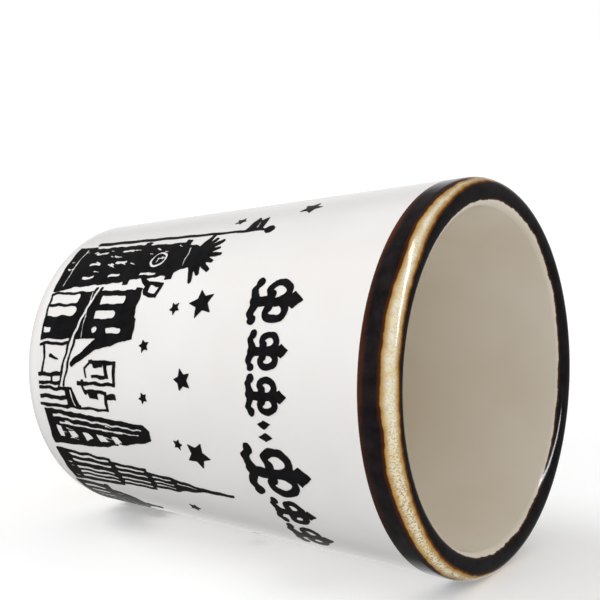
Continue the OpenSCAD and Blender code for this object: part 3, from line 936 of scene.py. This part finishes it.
mast = [("ink", brush, (0.55, 0.4), (s * 2.3, 0), (s * 0.2, 22)) for s in (-1, 1)]
for i in range(5):
    z, w = 1 + i * 3.6, 2.2 - i * 0.35
    mast += [
        ("ink", brush, (0.35, 0.35), (-w, z + 0.2), (w, z + 0.2)),
        ("ink", brush, (0.25, 0.25), (-w, z), (w - 0.35, z + 3.6)),
        ("ink", brush, (0.25, 0.25), (w, z), (0.35 - w, z + 3.6)),
    ]
mast += [("ink", brush, (0.5, 0.3), (0, 21.4), (0, 24.6)), ("ink", spot, 0, 22, 0.5)]
enamel("lattice_mast", [(155.2, (-2.7, 2.7, -0.1, 24.8), mast)])


# ---- Arcade --------------------------------------------------------------
# A viaduct of five arches with a parapet and a course of stone above them.

ARCHES = 5
arcade = [("ink", block, -6.3, 6.3, 0, 7), ("ink", block, -6.4, 6.4, 6.6, 7.3)]
for i in range(ARCHES):
    x = (i - (ARCHES - 1) / 2) * 2.4
    arcade += [("bare", arched, x, 1.5, 0.1, 5.2), ("bare", spot, x + 1.2, 5.4, 0.22)]
arcade += [("bare", brush, (0.18, 0.18), (-6.2, 6.2), (6.2, 6.25))]
enamel("arcade", [(183, (-6.6, 6.6, -0.1, 7.5), arcade)])


# ---- Chimney works -------------------------------------------------------
# A low works with a saw-tooth roof, windows and a tall chimney with a cap.

works = [("ink", block, -4, 0.8, 0, 6.1)]
works += [("ink", facet, (x, 6), (x + 1.6, 6), (x + 1.6, 7.6)) for x in (-4, -2.4, -0.8)]
works += [
    ("ink", facet, (1.3, 0), (1.6, 15), (2.6, 15), (2.9, 0)),
    ("ink", block, 1.3, 2.9, 14.8, 15.9),
    ("bare", brush, (0.2, 0.15), (1.9, 1), (1.95, 13.6)),
]
works += [("bare", block, x - 0.4, x + 0.4, 2.6, 4.4) for x in (-3.2, -1.6, 0)]
works += [("bare", block, x - 0.4, x + 0.4, 0.4, 1.6) for x in (-3.2, -1.6)]
enamel("chimney_works", [(216, (-4.3, 3.2, -0.1, 16.1), works)])


# ---- Chapel --------------------------------------------------------------
# A gabled nave with a round window, and a tower under a slate spire.

chapel = [
    ("ink", facet, (-1, 0), (-1, 5), (1.6, 8.4), (4.2, 5), (4.2, 0)),
    ("ink", block, -3.4, -1, 0, 11.1),
    ("ink", facet, (-3.7, 11), (-0.7, 11), (-2.2, 18.5)),
    ("bare", arched, 1.6, 1.2, 0.1, 3),
    ("bare", spot, 1.6, 5.4, 0.8),
    ("ink", brush, (0.2, 0.2), (0.8, 5.4), (2.4, 5.4)),
    ("ink", brush, (0.2, 0.2), (1.6, 4.6), (1.6, 6.2)),
    ("bare", arched, -2.2, 0.8, 6.8, 9.2),
    ("bare", arched, -2.2, 0.6, 1.4, 4),
    ("bare", brush, (0.25, 0.1), (-2.6, 11.6), (-2.2, 16)),
]
enamel("chapel", [(244, (-3.9, 4.5, -0.1, 18.7), chapel)])


# ---- Setting -------------------------------------------------------------
# The cup lies on its side on a white table, in a white tent lit from above.

CONTACT = math.radians(12)
to_side = Vector((math.cos(CONTACT), math.sin(CONTACT), 0))
table_down = (to_side * math.cos(DRAFT) + Vector((0, 0, -math.sin(DRAFT)))).normalized()
table_depth = FOOT_R * math.cos(DRAFT) + INK

table_mesh = bpy.data.meshes.new("table")
across = table_down.cross(Vector((0, 0, 1))).normalized()
along = table_down.cross(across)
centre = table_down * table_depth
TABLE = 8
corners = [centre + across * a * TABLE + along * b * TABLE for a, b in ((-1, -1), (1, -1), (1, 1), (-1, 1))]
table_mesh.from_pydata([tuple(c) for c in corners], [], [(0, 1, 2, 3)])
table_top = bpy.data.objects.new("table", table_mesh)
bpy.context.scene.collection.objects.link(table_top)
if table_mesh.polygons[0].normal.dot(table_down) > 0:
    table_mesh.flip_normals()
white_table, tree, shader, place = finish_named("white_card_table")
shader.inputs["Base Color"].default_value = linear("#f4f4f4")
shader.inputs["Roughness"].default_value = 0.9
shader.inputs["Specular IOR Level"].default_value = 0
shader.inputs["Emission Color"].default_value = linear("#ffffff")
seen = put(tree, "ShaderNodeLightPath").outputs["Is Camera Ray"]
LIFT = 0.23
lifted = put(tree, "ShaderNodeMath", {0: seen, 1: LIFT}, operation="MULTIPLY").outputs[0]
tree.links.new(lifted, shader.inputs["Emission Strength"])
behind = put(tree, "ShaderNodeNewGeometry").outputs["Backfacing"]
clear = put(tree, "ShaderNodeBsdfTransparent").outputs[0]
one_sided = put(tree, "ShaderNodeMixShader", {0: behind, 1: shader.outputs[0], 2: clear})
tree.links.new(one_sided.outputs[0], tree.nodes["Material Output"].inputs["Surface"])
table_top.visible_glossy = False
table_top.visible_diffuse = False
table_mesh.materials.append(white_table)

world = bpy.data.worlds.new("white_tent")
bpy.context.scene.world = world
world.use_nodes = True
tree = world.node_tree
tent = tree.nodes["Background"]
tent.inputs["Color"].default_value = linear("#ffffff")
# it lights the cup from all round, a little more from the mouth's side, but what
# mirrors in the glaze is a bright backdrop behind the cup and a dim room elsewhere
toward = put(tree, "ShaderNodeTexCoord").outputs["Generated"]
BACKDROP = (0, 0.83, -0.555)
ROOM, SHINE = 0.12, 0.8
aimed = put(tree, "ShaderNodeVectorMath", {0: toward, 1: BACKDROP}, operation="DOT_PRODUCT")
edge = {"Value": aimed.outputs["Value"], "From Min": 0.75, "From Max": 0.97, "To Min": ROOM, "To Max": SHINE}
mirrored = put(tree, "ShaderNodeMapRange", edge, interpolation_type="SMOOTHSTEP").outputs[0]
ray = put(tree, "ShaderNodeLightPath").outputs
height = put(tree, "ShaderNodeSeparateXYZ", {0: toward}).outputs["Z"]
FILL_LOW, FILL_HIGH = 0.46, 0.92
fill = {"Value": height, "From Min": -0.2, "From Max": 0.9, "To Min": FILL_LOW, "To Max": FILL_HIGH}
around = put(tree, "ShaderNodeMapRange", fill).outputs[0]
soft = put(tree, "ShaderNodeMix", {0: ray["Is Camera Ray"], 2: around, 3: 1.0}, data_type="FLOAT")
sharp = {0: ray["Is Glossy Ray"], 2: soft.outputs[0], 3: mirrored}
strength = put(tree, "ShaderNodeMix", sharp, data_type="FLOAT").outputs[0]
tree.links.new(strength, tent.inputs["Strength"])


def lamp(name, kind, place, watts, mirrored, **sizes):
    """A soft lamp that looks at the cup. A mirrored one only shines in the glaze."""
    data = bpy.data.lights.new(name, kind)
    data.energy = watts
    for key, value in sizes.items():
        setattr(data, key, value)
    holder = bpy.data.objects.new(name, data)
    bpy.context.scene.collection.objects.link(holder)
    holder.location = place
    holder.rotation_mode = "QUATERNION"
    holder.rotation_quaternion = (Vector((0, 0, RIM_Z / 2)) - place).to_track_quat("-Z", "Y")
    holder.visible_glossy = mirrored
    holder.visible_diffuse = not mirrored


lamp("window", "SUN", Vector((0, -0.97, -0.35)), 1.22, False, angle=math.radians(50))
lamp("overhead", "SUN", Vector((-0.75, -0.3, -1)), 1.35, False, angle=math.radians(30))
lamp("glint", "AREA", Vector((-0.31, -0.1, 0.4)), 1.7, True, shape="RECTANGLE", size=0.06, size_y=0.6)

camera = bpy.data.objects.new("camera", bpy.data.cameras.new("camera"))
bpy.context.scene.collection.objects.link(camera)
bpy.context.scene.camera = camera
camera.data.sensor_width = 36
camera.data.lens = 89.777
camera.data.clip_start = 0.01
eye = Vector((0, -161.418, 139.694)) * MM
looking = Vector((-0.0465994, 0.83049, -0.555081)).normalized()
view_up = Vector((-0.997834, -0.064529, -0.012776))
rightward = looking.cross(view_up).normalized()
upward = rightward.cross(looking)
turned = Matrix((rightward, upward, -looking)).transposed()
camera.matrix_world = Matrix.Translation(eye) @ turned.to_4x4()

scene = bpy.context.scene
scene.view_settings.view_transform = "Standard"
